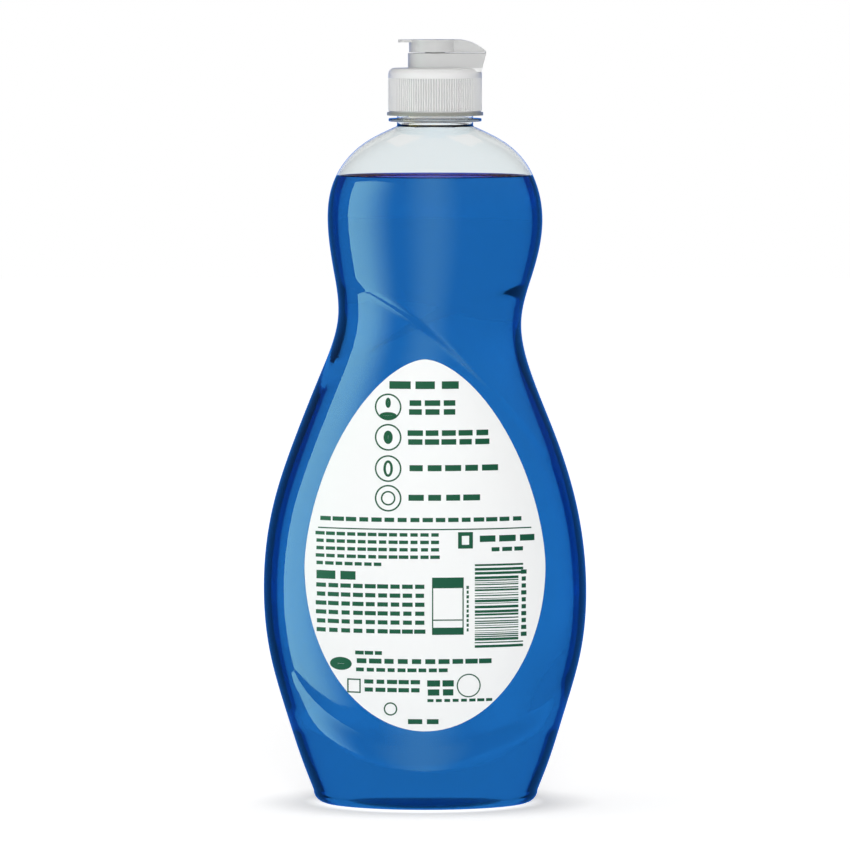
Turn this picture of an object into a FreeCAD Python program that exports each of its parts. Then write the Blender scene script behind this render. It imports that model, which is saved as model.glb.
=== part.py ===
import FreeCAD, Part
import math
import os
import Sketcher

# A dish soap bottle of clear blown plastic, filled with soap, with a flip-top screw cap.
# +Z is up, the label faces -Y, and the origin is under the middle of the belly, on the
# surface that the bottle stands on. All lengths are in millimetres.

doc = FreeCAD.newDocument("DishSoapBottle")

# Driving dimensions
SIZES = [
    # bottle wall, heel and base
    ("wall", 0.6),
    ("heel", 4.0),
    ("push_up_tall", 3.0),
    ("foot_flat", 3.0),
    # label panel sunk into each face, and the label in it
    ("panel_deep", 1.0),
    ("panel_side", 0.25),
    ("panel_margin", 4.3),
    ("panel_foot", 15.0),
    ("label_foot", 26.2),
    ("label_low", 51.8),
    ("label_high", 65.0),
    ("label_wide", 76.2),
    ("label_slim", 1.6),
    ("label_thick", 0.12),
    ("adhesive", 0.03),
    # soap
    ("fill_level", 201.0),
    ("soap_gap", 0.03),
    # neck
    ("neck_wall", 1.3),
    ("neck_stub", 1.5),
    ("ring_wide", 29.5),
    ("ring_thick", 0.95),
    # screw thread, the same on the neck and in the cap
    ("thread_pitch", 4.23),
    ("thread_root", 1.5),
    ("thread_tip", 0.7),
    ("thread_gap", 0.4),
    ("thread_room", 1.4),
    ("thread_rise", 3.0),
    # cap
    ("cap_lift", 0.95),
    ("cap_wide", 29.7),
    ("cap_tall", 15.0),
    ("cap_wall", 1.35),
    ("deck_thick", 1.2),
    ("deck_round", 2.0),
    ("bead_out", 0.4),
    ("bead_tall", 1.0),
    ("rib_deep", 0.3),
    ("rib_wide", 0.46),
    ("rib_foot", 1.5),
    ("rib_tall", 10.3),
    ("rib_count", 112),
    ("liner_thick", 1.0),
    ("liner_hole", 18.0),
    # turret with the spout
    ("turret_wide", 17.2),
    ("turret_tall", 4.7),
    ("turret_wall", 1.2),
    ("hinge_over", 1.25),
    ("hinge_wide", 12.2),
    ("hinge_drop", 1.8),
    ("hinge_slope", 1.7),
    ("spout_wide", 6.4),
    ("spout_tall", 1.6),
    ("spout_bore", 3.4),
    # lid
    ("lid_gap", 0.3),
    ("lid_tall", 4.0),
    ("lid_wall", 1.1),
    ("lid_top", 1.1),
    ("lid_flat", 6.0),
    ("lid_lip", 0.35),
    ("lid_lip_tall", 0.9),
    ("crown_round", 14.0),
    ("tab_reach", 3.1),
    ("tab_wide", 9.0),
    ("tab_thick", 0.9),
    ("pin_play", 0.2),
    ("pin_deep", 1.6),
    ("leaf_thick", 0.35),
    ("leaf_wide", 9.0),
    ("crease_gap", 0.02),
]

# Levels of the bottle from the heel up: rise above the level below, width, depth, and
# how far the middle stands to the right. The waist and everything above lean that way.
LEVELS = [
    ("foot", None, 71.9, 42.5, 0.2),
    ("ankle", 9.0, 78.8, 46.6, 0.2),
    ("hip", 15.0, 88.4, 50.2, 0.1),
    ("low", 20.0, 99.4, 53.2, 0.1),
    ("belly", 22.0, 103.2, 54.4, 0.0),
    ("high", 27.0, 96.4, 53.6, 0.0),
    ("flank", 21.0, 82.9, 51.0, 0.2),
    ("taper", 20.0, 67.1, 47.4, 0.3),
    ("waist", 17.5, 58.5, 45.2, 1.5),
    ("nape", 15.5, 63.8, 46.0, 2.75),
    ("bulb", 15.0, 68.3, 47.2, 3.2),
    ("shoulder", 13.0, 64.2, 44.5, 3.05),
    ("slope", 8.5, 53.6, 38.5, 3.2),
    ("throat", 5.5, 39.2, 31.0, 3.2),
]
NECK_RISE = 3.6
HEEL_STEPS = 3
LABEL_STEPS = 24

for name, rise, wide, deep, lean in LEVELS:
    if rise is not None:
        SIZES.append(("rise_" + name, rise))
    SIZES.append(("wide_" + name, wide))
    SIZES.append(("deep_" + name, deep))
    SIZES.append(("lean_" + name, lean))
SIZES.append(("rise_neck", NECK_RISE))
SIZES.append(("lean_neck", 3.2))

# Sizes that follow the cap's width: the neck that it screws on, its bead and its hinge
FOLLOWING = [
    ("neck_wide", "=cap_wide - 2 * (cap_wall + thread_room)"),
    ("bead_wide", "=cap_wide + 2 * bead_out"),
    ("hinge_reach", "=cap_wide / 2 + hinge_over"),
]

sheet = doc.addObject("Spreadsheet::Sheet", "Sizes")
for row, (alias, size) in enumerate(SIZES + FOLLOWING, start=1):
    sheet.set("A%d" % row, alias.replace("_", " "))
    sheet.set("B%d" % row, str(size))
    sheet.setAlias("B%d" % row, alias)
doc.recompute()


def cell(alias):
    return "Sizes." + alias


# Heights, each one worked out from the pieces below it
LEVEL_Z = {}
height = cell("heel")
for name, rise, wide, deep, lean in LEVELS:
    if rise is not None:
        height = height + " + " + cell("rise_" + name)
    LEVEL_Z[name] = height
NECK_Z = height + " + Sizes.rise_neck"
RING_Z = NECK_Z + " + Sizes.neck_stub"
CAP_Z = RING_Z + " + Sizes.ring_thick + Sizes.cap_lift"
NECK_TOP = CAP_Z + " + Sizes.cap_tall - Sizes.deck_thick - Sizes.liner_thick"


def value(expression):
    return float(sheet.evalExpression(expression))


def bind(thing, **expressions):
    for prop, expression in expressions.items():
        thing.setExpression(prop, expression)


def place(thing, x="0", z="0"):
    thing.setExpression(".Placement.Base.x", x)
    thing.setExpression(".Placement.Base.z", z)


def ring(name, half_width, half_depth, x, z):
    """One level of a form: an ellipse across the bottle."""
    ellipse = doc.addObject("Part::Ellipse", name)
    ellipse.MajorRadius = value(half_width)
    ellipse.MinorRadius = value(half_depth)
    bind(ellipse, MajorRadius=half_width, MinorRadius=half_depth)
    place(ellipse, x, z)
    return ellipse


def form(name, skin, side="0", sink="0", neck=None):
    """The bottle's body, drawn in by skin all round, by side at its two sides and by
    sink on its two faces. It ends in a round neck of radius neck, or at the shoulder."""
    rings = []
    for step in range(HEEL_STEPS):
        angle = 90.0 * step / HEEL_STEPS
        bulge = "(Sizes.heel - (%s)) * sin(%g)" % (skin, angle)
        inward = "Sizes.heel - (%s)" % bulge
        rings.append(ring(
            name + "Heel",
            "Sizes.wide_foot / 2 - (%s) - (%s)" % (inward, side),
            "Sizes.deep_foot / 2 - (%s) - (%s)" % (inward, sink),
            "Sizes.lean_foot",
            "Sizes.heel - (Sizes.heel - (%s) - (%s)) * cos(%g)" % (skin, side, angle),
        ))
    for level, rise, wide, deep, lean in LEVELS:
        rings.append(ring(
            name + level.capitalize(),
            "%s / 2 - (%s) - (%s)" % (cell("wide_" + level), skin, side),
            "%s / 2 - (%s) - (%s)" % (cell("deep_" + level), skin, sink),
            cell("lean_" + level),
            LEVEL_Z[level],
        ))
        if neck is None and level == "shoulder":
            break
    if neck is not None:
        top = doc.addObject("Part::Circle", name + "Neck")
        bind(top, Radius=neck)
        place(top, cell("lean_neck"), NECK_Z)
        rings.append(top)
    loft = doc.addObject("Part::Loft", name)
    loft.Sections = rings
    loft.Solid = True
    loft.Ruled = False
    return loft


def combine(kind, name, base, tool):
    result = doc.addObject(kind, name)
    result.Base = base
    result.Tool = tool
    result.Refine = False
    return result


def outline(name, edges):
    flat = doc.addObject("Part::Feature", name)
    flat.Shape = Part.Wire(Part.__sortEdges__(edges))
    return flat


def slab(name, flat, reach):
    """A block whose outline is seen from the front, from the middle plane forwards."""
    block = doc.addObject("Part::Extrusion", name)
    block.Base = flat
    block.DirMode = "Custom"
    block.Dir = FreeCAD.Vector(0, -1, 0)
    block.Solid = True
    bind(block, LengthFwd=reach)
    return block


def panel_outline(skin):
    """The edge of the panel on the front: a crease falls from the left of the waist to
    the right, runs down the right flank, round under the label and out on the left. An
    inner skin's edge stands outside the outer one by the thickness between them."""
    half = {}
    level = {}
    for name, rise, wide, deep, lean in LEVELS:
        half[name] = value(cell("wide_" + name)) / 2
        level[name] = value(LEVEL_Z[name])
    margin = value(cell("panel_margin"))
    foot = value(cell("panel_foot"))
    points = [
        (-half["waist"] - margin / 2, level["nape"]),
        (-0.72 * half["waist"], level["nape"] - 0.8 * margin),
        (0.0, level["waist"] - 0.2 * margin),
        (0.58 * half["taper"], level["taper"] - 0.5 * margin),
        (half["flank"] - 1.3 * margin, level["flank"] - 0.3 * margin),
        (half["high"] - margin, level["high"] + margin),
        (half["belly"] - margin, (level["high"] + level["belly"]) / 2),
        (half["belly"] - margin, level["belly"] - margin),
        (half["low"] - 1.2 * margin, (level["low"] + level["hip"]) / 2),
        (0.6 * half["low"], foot + 2 * margin),
        (0.0, foot),
        (-0.55 * half["low"], foot + 1.5 * margin),
        (-half["low"] + 1.5 * margin, level["hip"] + 2 * margin),
        (-half["belly"] - margin, level["belly"] - 2 * margin),
    ]
    grow = value(skin)
    corners = []
    for i, (x, z) in enumerate(points):
        before = points[max(i - 1, 0)]
        after = points[min(i + 1, len(points) - 1)]
        along = FreeCAD.Vector(after[0] - before[0], 0, after[1] - before[1]).normalize()
        corners.append(FreeCAD.Vector(x - grow * along.z, 0, z + grow * along.x))
    curve = Part.BSplineCurve()
    curve.interpolate(corners)
    beyond = FreeCAD.Vector(corners[-1].x, 0, corners[0].z)
    return [
        curve.toShape(),
        Part.makeLine(corners[-1], beyond),
        Part.makeLine(beyond, corners[0]),
    ]


def label_outline():
    """An egg: half an ellipse below its widest level, and a slimmer curve above it."""
    wide = value("Sizes.label_wide / 2")
    low = value(cell("label_low"))
    high = value(cell("label_high"))
    middle = value("Sizes.label_foot + Sizes.label_low")
    slim = value("Sizes.label_slim")
    points = []
    for step in range(LABEL_STEPS):
        angle = 2 * math.pi * step / LABEL_STEPS
        across = math.cos(angle)
        along = math.sin(angle)
        if along > 0:
            x = wide * math.copysign(abs(across) ** (2 / slim), across)
            z = middle + high * along ** (2 / slim)
        else:
            x = wide * across
            z = middle + low * along
        points.append(FreeCAD.Vector(x, 0, z))
    curve = Part.BSplineCurve()
    curve.interpolate(Points=points, PeriodicFlag=True)
    return [curve.toShape()]


HALF_TURN = FreeCAD.Placement(
    FreeCAD.Vector(0, 0, 0), FreeCAD.Rotation(FreeCAD.Vector(0, 0, 1), 180)
)


def body_with_panels(name, skin, neck):
    """A skin of the bottle with a panel sunk into each face and a push-up in its base."""
    whole = form(name + "Form", skin, neck=neck)
    floor = form(name + "Floor", skin, side="Sizes.panel_side", sink="Sizes.panel_deep")
    panel_flat = outline(name + "PanelOutline", panel_outline(skin))
    shape = whole
    for side in ("Front", "Back"):
        block = slab(name + side + "Block", panel_flat, "Sizes.deep_belly")
        if side == "Back":
            block.Placement = HALF_TURN
        rim = combine("Part::Cut", name + side + "Rim", block, floor)
        shape = combine("Part::Cut", name + side + "Panel", shape, rim)
    push_up = doc.addObject("Part::Ellipsoid", name + "PushUp")
    inward = "Sizes.heel + Sizes.foot_flat - (%s)" % skin
    bind(
        push_up,
        Radius1="Sizes.push_up_tall + (%s)" % skin,
        Radius2="Sizes.wide_foot / 2 - (%s)" % inward,
        Radius3="Sizes.deep_foot / 2 - (%s)" % inward,
    )
    push_up.Angle1 = -90
    push_up.Angle2 = 90
    place(push_up, cell("lean_foot"))
    return combine("Part::Cut", name + "Body", shape, push_up)


def plane(body, role):
    for feature in body.Origin.OriginFeatures:
        if feature.Role == role:
            return feature
    raise ValueError(role)


def new_sketch(body, name, role="XY_Plane", lift="0"):
    sketch = body.newObject("Sketcher::SketchObject", name)
    sketch.AttachmentSupport = [(plane(body, role), "")]
    sketch.MapMode = "FlatFace"
    sketch.setExpression(".AttachmentOffset.Base.z", lift)
    return sketch


def bowed(start, end, radius):
    """An arc that bows out to the left of the way from start to end. It runs back from
    end to start, because a sketch keeps its arcs anticlockwise."""
    chord = end - start
    back = math.sqrt(radius ** 2 - (chord.Length / 2) ** 2)
    aside = FreeCAD.Vector(chord.y, -chord.x, 0).normalize()
    centre = (start + end) / 2 + aside * back
    angles = [math.atan2(point.y - centre.y, point.x - centre.x) for point in (end, start)]
    return Part.ArcOfCircle(Part.Circle(centre, FreeCAD.Vector(0, 0, 1), radius), *angles)


def polygon(sketch, corners, arc=None):
    """A closed outline of straight edges, with each corner held to its two sizes. The
    edge after the first corner is an arc where its radius is given."""
    points = [FreeCAD.Vector(value(x), value(y), 0) for x, y in corners]
    first = sketch.GeometryCount
    for start, end in zip(points, points[1:] + points[:1]):
        if arc and start is points[0]:
            sketch.addGeometry(bowed(start, end, value(arc)), False)
        else:
            sketch.addGeometry(Part.LineSegment(start, end), False)
    count = len(points)
    start_of = [1] * count
    end_of = [2] * count
    if arc:
        held = sketch.addConstraint(Sketcher.Constraint("Radius", first, value(arc)))
        sketch.setExpression("Constraints[%d]" % held, arc)
        start_of[0] = 2
        end_of[0] = 1
    for i in range(count):
        after = (i + 1) % count
        sketch.addConstraint(Sketcher.Constraint(
            "Coincident", first + i, end_of[i], first + after, start_of[after]
        ))
    for i, corner in enumerate(corners):
        for kind, size in zip(("DistanceX", "DistanceY"), corner):
            held = sketch.addConstraint(
                Sketcher.Constraint(kind, -1, 1, first + i, start_of[i], value(size))
            )
            sketch.setExpression("Constraints[%d]" % held, size)


def circle(sketch, radius):
    found = sketch.addGeometry(
        Part.Circle(FreeCAD.Vector(0, 0, 0), FreeCAD.Vector(0, 0, 1), value(radius)), False
    )
    sketch.addConstraint(Sketcher.Constraint("Coincident", found, 3, -1, 1))
    held = sketch.addConstraint(Sketcher.Constraint("Radius", found, value(radius)))
    sketch.setExpression("Constraints[%d]" % held, radius)


def revolve(body, name, corners, arc=None):
    """A solid of revolution about the body's own upright axis."""
    sketch = new_sketch(body, name + "Section", "XZ_Plane")
    polygon(sketch, corners, arc)
    turned = body.newObject("PartDesign::Revolution", name)
    turned.Profile = sketch
    turned.ReferenceAxis = (sketch, ["V_Axis"])
    turned.Angle = 360.0
    return turned


def extrude(body, name, sketch, length, kind="PartDesign::Pad", both_ways=False, back=False):
    made = body.newObject(kind, name)
    made.Profile = sketch
    made.setExpression("Length", length)
    if both_ways:
        made.Midplane = True
    made.Reversed = back
    return made


def thread(body, name, root, tip, start, tall):
    """A right-hand screw thread round the body's upright axis, from the radius root to
    the radius tip."""
    sketch = new_sketch(body, name + "Section", "XZ_Plane")
    polygon(sketch, [
        (root, start + " - Sizes.thread_root / 2"),
        (tip, start + " - Sizes.thread_tip / 2"),
        (tip, start + " + Sizes.thread_tip / 2"),
        (root, start + " + Sizes.thread_root / 2"),
    ])
    turns = body.newObject("PartDesign::AdditiveHelix", name)
    turns.Profile = sketch
    turns.ReferenceAxis = (sketch, ["V_Axis"])
    turns.Mode = "pitch-height-angle"
    bind(turns, Pitch="Sizes.thread_pitch", Height=tall)
    return turns


# Bottle: one blown piece with its neck, thin in the body and thick at the neck
neck_finish = doc.addObject("PartDesign::Body", "NeckFinish")
place(neck_finish, cell("lean_neck"), NECK_Z)
TOP_OVER_ROOT = "(%s) - (%s)" % (NECK_TOP, NECK_Z)
revolve(neck_finish, "Neck", [
    ("Sizes.neck_wide / 2 - Sizes.neck_wall", "0"),
    ("Sizes.neck_wide / 2", "0"),
    ("Sizes.neck_wide / 2", "Sizes.neck_stub"),
    ("Sizes.ring_wide / 2", "Sizes.neck_stub"),
    ("Sizes.ring_wide / 2", "Sizes.neck_stub + Sizes.ring_thick"),
    ("Sizes.neck_wide / 2", "Sizes.neck_stub + Sizes.ring_thick"),
    ("Sizes.neck_wide / 2", TOP_OVER_ROOT),
    ("Sizes.neck_wide / 2 - Sizes.neck_wall", TOP_OVER_ROOT),
])
NECK_THREAD_Z = "Sizes.neck_stub + Sizes.ring_thick + Sizes.thread_rise"
thread(
    neck_finish, "NeckThread",
    root="Sizes.neck_wide / 2 - Sizes.neck_wall / 3",
    tip="Sizes.cap_wide / 2 - Sizes.cap_wall - Sizes.thread_gap",
    start=NECK_THREAD_Z, tall="0.53 * Sizes.cap_tall",
)
outer_skin = body_with_panels("Outer", "0", "Sizes.neck_wide / 2")
inner_skin = body_with_panels("Inner", "Sizes.wall", "Sizes.neck_wide / 2 - Sizes.neck_wall")
blown_shell = combine("Part::Cut", "BlownShell", outer_skin, inner_skin)
bottle = combine("Part::Fuse", "Bottle", blown_shell, neck_finish)
bottle.Label = "bottle"

# Soap: fills the bottle up to the middle of its upper bulb
soap_skin = body_with_panels(
    "Soap", "Sizes.wall + Sizes.soap_gap",
    "Sizes.neck_wide / 2 - Sizes.neck_wall - Sizes.soap_gap",
)
above_soap = doc.addObject("Part::Box", "AboveSoap")
bind(
    above_soap,
    Length="2 * Sizes.wide_belly",
    Width="2 * Sizes.deep_belly",
    Height=NECK_Z,
)
place(above_soap, "-Sizes.wide_belly", cell("fill_level"))
above_soap.setExpression(".Placement.Base.y", "-Sizes.deep_belly")
dish_soap = combine("Part::Cut", "DishSoap", soap_skin, above_soap)
dish_soap.Label = "dish_soap"

# Label: a printed film stuck down in the front panel
label_flat = outline("LabelOutline", label_outline())
label_block = slab("LabelBlock", label_flat, "Sizes.deep_belly")
film_back = form(
    "FilmBack", "0",
    side="Sizes.panel_side - Sizes.adhesive",
    sink="Sizes.panel_deep - Sizes.adhesive",
)
film_face = form(
    "FilmFace", "0",
    side="Sizes.panel_side - Sizes.adhesive - Sizes.label_thick",
    sink="Sizes.panel_deep - Sizes.adhesive - Sizes.label_thick",
)
film_block = combine("Part::Common", "FilmBlock", label_block, film_face)
label = combine("Part::Cut", "Label", film_block, film_back)
label.Label = "label"

# Liner: a soft sealing ring pressed between the neck's rim and the cap's deck
liner = doc.addObject("PartDesign::Body", "Liner")
liner.Label = "cap_liner"
place(liner, cell("lean_neck"), NECK_TOP)
revolve(liner, "LinerRing", [
    ("Sizes.liner_hole / 2", "0"),
    ("Sizes.neck_wide / 2", "0"),
    ("Sizes.neck_wide / 2", "Sizes.liner_thick"),
    ("Sizes.liner_hole / 2", "Sizes.liner_thick"),
])

# Cap: ribbed skirt, bead, deck, and a hollow turret that carries the spout and the hinge
TURRET_TOP = "Sizes.cap_tall + Sizes.turret_tall"
cap = doc.addObject("PartDesign::Body", "CapBase")
cap.Label = "cap_base"
place(cap, cell("lean_neck"), CAP_Z)
HINGE_CORNER = "hypot(Sizes.hinge_reach; Sizes.hinge_wide / 2)"
TOUCH = (
    "(atan2(Sizes.hinge_wide / 2; Sizes.hinge_reach)"
    " + acos(Sizes.turret_wide / 2 / " + HINGE_CORNER + "))"
)
TOUCH_X = "Sizes.turret_wide / 2 * cos" + TOUCH
TOUCH_Y = "Sizes.turret_wide / 2 * sin" + TOUCH
block_flat = new_sketch(cap, "HingeBlockFlat", lift="Sizes.cap_tall - Sizes.deck_thick")
polygon(block_flat, [
    (TOUCH_X, "-" + TOUCH_Y),
    ("Sizes.hinge_reach", "-Sizes.hinge_wide / 2"),
    ("Sizes.hinge_reach", "Sizes.hinge_wide / 2"),
    (TOUCH_X, TOUCH_Y),
])
extrude(cap, "HingeBlock", block_flat, "Sizes.turret_tall + Sizes.deck_thick")
slope_side = new_sketch(cap, "HingeSlopeSide", "XZ_Plane")
polygon(slope_side, [
    ("Sizes.hinge_reach - Sizes.hinge_slope", "Sizes.cap_tall - Sizes.hinge_drop"),
    ("2 * Sizes.hinge_reach", "Sizes.cap_tall - Sizes.hinge_drop"),
    ("2 * Sizes.hinge_reach", TURRET_TOP + " - Sizes.leaf_thick"),
    ("Sizes.hinge_reach", TURRET_TOP + " - Sizes.leaf_thick"),
])
extrude(cap, "HingeSlope", slope_side, "2 * Sizes.hinge_wide",
        kind="PartDesign::Pocket", both_ways=True)
RIB_TOP = "Sizes.rib_foot + Sizes.rib_tall"
revolve(cap, "Skirt", arc="Sizes.deck_round", corners=[
    ("Sizes.cap_wide / 2 - Sizes.deck_round", "Sizes.cap_tall"),
    ("Sizes.cap_wide / 2", "Sizes.cap_tall - Sizes.deck_round"),
    ("Sizes.cap_wide / 2", RIB_TOP),
    ("Sizes.cap_wide / 2 - Sizes.rib_deep", RIB_TOP),
    ("Sizes.cap_wide / 2 - Sizes.rib_deep", "Sizes.bead_tall"),
    ("Sizes.bead_wide / 2", "Sizes.bead_tall"),
    ("Sizes.bead_wide / 2", "0"),
    ("Sizes.cap_wide / 2 - Sizes.cap_wall", "0"),
    ("Sizes.cap_wide / 2 - Sizes.cap_wall", "Sizes.cap_tall - Sizes.deck_thick"),
    ("0", "Sizes.cap_tall - Sizes.deck_thick"),
    ("0", "Sizes.cap_tall"),
])
thread(
    cap, "CapThread",
    root="Sizes.cap_wide / 2 - Sizes.cap_wall * 2 / 3",
    tip="Sizes.neck_wide / 2 + Sizes.thread_gap",
    start="Sizes.thread_rise - Sizes.cap_lift + Sizes.thread_pitch / 2",
    tall="0.31 * Sizes.cap_tall",
)
turret_flat = new_sketch(cap, "TurretFlat", lift="Sizes.cap_tall - Sizes.deck_thick")
circle(turret_flat, "Sizes.turret_wide / 2")
extrude(cap, "Turret", turret_flat, "Sizes.turret_tall + Sizes.deck_thick")
leaf_side = new_sketch(cap, "LowerLeafSide", "XZ_Plane")
polygon(leaf_side, [
    ("Sizes.hinge_reach - Sizes.leaf_thick", TURRET_TOP + " - Sizes.leaf_thick"),
    ("Sizes.hinge_reach", TURRET_TOP + " - Sizes.leaf_thick"),
    ("Sizes.hinge_reach", TURRET_TOP + " + (Sizes.lid_gap - Sizes.crease_gap) / 2"),
    ("Sizes.hinge_reach - Sizes.leaf_thick",
     TURRET_TOP + " + (Sizes.lid_gap - Sizes.crease_gap) / 2"),
])
extrude(cap, "LowerLeaf", leaf_side, "Sizes.leaf_wide", both_ways=True)
spout_flat = new_sketch(cap, "SpoutFlat", lift=TURRET_TOP)
circle(spout_flat, "Sizes.spout_wide / 2")
extrude(cap, "Spout", spout_flat, "Sizes.spout_tall")
hollow_flat = new_sketch(cap, "HollowFlat")
circle(hollow_flat, "Sizes.turret_wide / 2 - Sizes.turret_wall")
extrude(cap, "Hollow", hollow_flat, TURRET_TOP + " - Sizes.turret_wall",
        kind="PartDesign::Pocket", back=True)
core_flat = new_sketch(cap, "CoreFlat")
polygon(core_flat, [
    ("0", "Sizes.turret_wall - Sizes.hinge_wide / 2"),
    ("Sizes.cap_wide / 2 - Sizes.deck_round", "Sizes.turret_wall - Sizes.hinge_wide / 2"),
    ("Sizes.cap_wide / 2 - Sizes.deck_round", "Sizes.hinge_wide / 2 - Sizes.turret_wall"),
    ("0", "Sizes.hinge_wide / 2 - Sizes.turret_wall"),
])
extrude(cap, "Core", core_flat, TURRET_TOP + " - Sizes.turret_wall",
        kind="PartDesign::Pocket", back=True)
bore_flat = new_sketch(cap, "SpoutBoreFlat")
circle(bore_flat, "Sizes.spout_bore / 2")
extrude(cap, "SpoutBore", bore_flat, TURRET_TOP + " + 2 * Sizes.spout_tall",
        kind="PartDesign::Pocket", back=True)
rib_flat = new_sketch(cap, "RibFlat", lift="Sizes.rib_foot")
polygon(rib_flat, [
    ("Sizes.cap_wide / 2 - 2 * Sizes.rib_deep", "-Sizes.rib_wide / 2"),
    ("Sizes.cap_wide / 2 - Sizes.rib_deep", "-Sizes.rib_wide / 2"),
    ("Sizes.cap_wide / 2", "-Sizes.rib_wide / 4"),
    ("Sizes.cap_wide / 2", "Sizes.rib_wide / 4"),
    ("Sizes.cap_wide / 2 - Sizes.rib_deep", "Sizes.rib_wide / 2"),
    ("Sizes.cap_wide / 2 - 2 * Sizes.rib_deep", "Sizes.rib_wide / 2"),
])
rib = extrude(cap, "Rib", rib_flat, "Sizes.rib_tall")
ribs = cap.newObject("PartDesign::PolarPattern", "Ribs")
ribs.Originals = [rib]
ribs.Axis = (rib_flat, ["N_Axis"])
ribs.Angle = 360
bind(ribs, Occurrences="Sizes.rib_count")
cap.Tip = ribs

# Lid: a hollow hood over the turret, with a thumb tab, a lip and the pin that plugs the spout
lid = doc.addObject("PartDesign::Body", "FlipLid")
lid.Label = "flip_lid"
place(lid, cell("lean_neck"), "%s + %s + Sizes.lid_gap" % (CAP_Z, TURRET_TOP))
lid_flat = new_sketch(lid, "HoodFlat")
circle(lid_flat, "Sizes.turret_wide / 2 - Sizes.lid_lip")
extrude(lid, "Hood", lid_flat, "Sizes.lid_tall")
back_flat = new_sketch(lid, "HoodBackFlat")
polygon(back_flat, [
    ("0", "Sizes.lid_lip - Sizes.hinge_wide / 2"),
    ("Sizes.hinge_reach", "Sizes.lid_lip - Sizes.hinge_wide / 2"),
    ("Sizes.hinge_reach", "Sizes.hinge_wide / 2 - Sizes.lid_lip"),
    ("0", "Sizes.hinge_wide / 2 - Sizes.lid_lip"),
])
extrude(lid, "HoodBack", back_flat, "Sizes.lid_tall")
lip_flat = new_sketch(lid, "LipFlat", lift="Sizes.lid_tall - Sizes.lid_lip_tall")
circle(lip_flat, "Sizes.turret_wide / 2")
extrude(lid, "Lip", lip_flat, "Sizes.lid_lip_tall")
lip_back_flat = new_sketch(lid, "LipBackFlat", lift="Sizes.lid_tall - Sizes.lid_lip_tall")
polygon(lip_back_flat, [
    ("0", "-Sizes.hinge_wide / 2"),
    ("Sizes.hinge_reach", "-Sizes.hinge_wide / 2"),
    ("Sizes.hinge_reach", "Sizes.hinge_wide / 2"),
    ("0", "Sizes.hinge_wide / 2"),
])
extrude(lid, "LipBack", lip_back_flat, "Sizes.lid_lip_tall")
tab_flat = new_sketch(lid, "TabFlat", lift="Sizes.lid_tall - Sizes.tab_thick")
polygon(tab_flat, [
    ("-Sizes.turret_wide / 2 - Sizes.tab_reach", "-Sizes.tab_wide / 4"),
    ("-Sizes.turret_wide / 2 - 0.7 * Sizes.tab_reach", "-0.4 * Sizes.tab_wide"),
    ("-Sizes.turret_wide / 3", "-Sizes.tab_wide / 2"),
    ("-Sizes.turret_wide / 3", "Sizes.tab_wide / 2"),
    ("-Sizes.turret_wide / 2 - 0.7 * Sizes.tab_reach", "0.4 * Sizes.tab_wide"),
    ("-Sizes.turret_wide / 2 - Sizes.tab_reach", "Sizes.tab_wide / 4"),
])
extrude(lid, "Tab", tab_flat, "Sizes.tab_thick")
inside_flat = new_sketch(lid, "InsideFlat")
circle(inside_flat, "Sizes.turret_wide / 2 - Sizes.lid_lip - Sizes.lid_wall")
extrude(lid, "Inside", inside_flat, "Sizes.lid_tall - Sizes.lid_top",
        kind="PartDesign::Pocket", back=True)
pin_flat = new_sketch(lid, "PinFlat", lift="Sizes.spout_tall - Sizes.lid_gap - Sizes.pin_deep")
circle(pin_flat, "Sizes.spout_bore / 2 - Sizes.pin_play")
extrude(lid, "Pin", pin_flat,
        "Sizes.lid_tall - Sizes.lid_top / 2 - Sizes.spout_tall + Sizes.lid_gap + Sizes.pin_deep")
crown_side = new_sketch(lid, "CrownSide", "XZ_Plane")
polygon(crown_side, arc="Sizes.crown_round", corners=[
    ("Sizes.lid_flat", "Sizes.lid_tall"),
    ("Sizes.hinge_reach", "Sizes.leaf_thick"),
    ("2 * Sizes.hinge_reach", "Sizes.leaf_thick"),
    ("2 * Sizes.hinge_reach", "2 * Sizes.lid_tall"),
    ("Sizes.lid_flat", "2 * Sizes.lid_tall"),
])
extrude(lid, "Crown", crown_side, "2 * Sizes.hinge_wide",
        kind="PartDesign::Pocket", both_ways=True)
upper_leaf_side = new_sketch(lid, "UpperLeafSide", "XZ_Plane")
polygon(upper_leaf_side, [
    ("Sizes.hinge_reach - Sizes.leaf_thick", "(Sizes.crease_gap - Sizes.lid_gap) / 2"),
    ("Sizes.hinge_reach", "(Sizes.crease_gap - Sizes.lid_gap) / 2"),
    ("Sizes.hinge_reach", "Sizes.leaf_thick"),
    ("Sizes.hinge_reach - Sizes.leaf_thick", "Sizes.leaf_thick"),
])
upper_leaf = extrude(lid, "UpperLeaf", upper_leaf_side, "Sizes.leaf_wide", both_ways=True)
lid.Tip = upper_leaf

# Build, check every object, and write one file for each sub-part
doc.recompute()
faults = []
for thing in doc.Objects:
    if "Invalid" in thing.State or "Error" in thing.State:
        faults.append("%s: %s" % (thing.Name, thing.State))
SUB_PARTS = [bottle, dish_soap, label, liner, cap, lid]
for part in SUB_PARTS:
    if part.Shape.isNull() or not part.Shape.isValid():
        faults.append("%s: no valid shape" % part.Label)
if faults:
    raise RuntimeError("; ".join(faults))
os.makedirs("parts", exist_ok=True)
for part in SUB_PARTS:
    solids = len(part.Shape.Solids)
    print("%s: %d solid, %.2f ml" % (part.Label, solids, part.Shape.Volume / 1000))
    part.Shape.exportStep("parts/%s.step" % part.Label)
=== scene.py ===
import math

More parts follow.
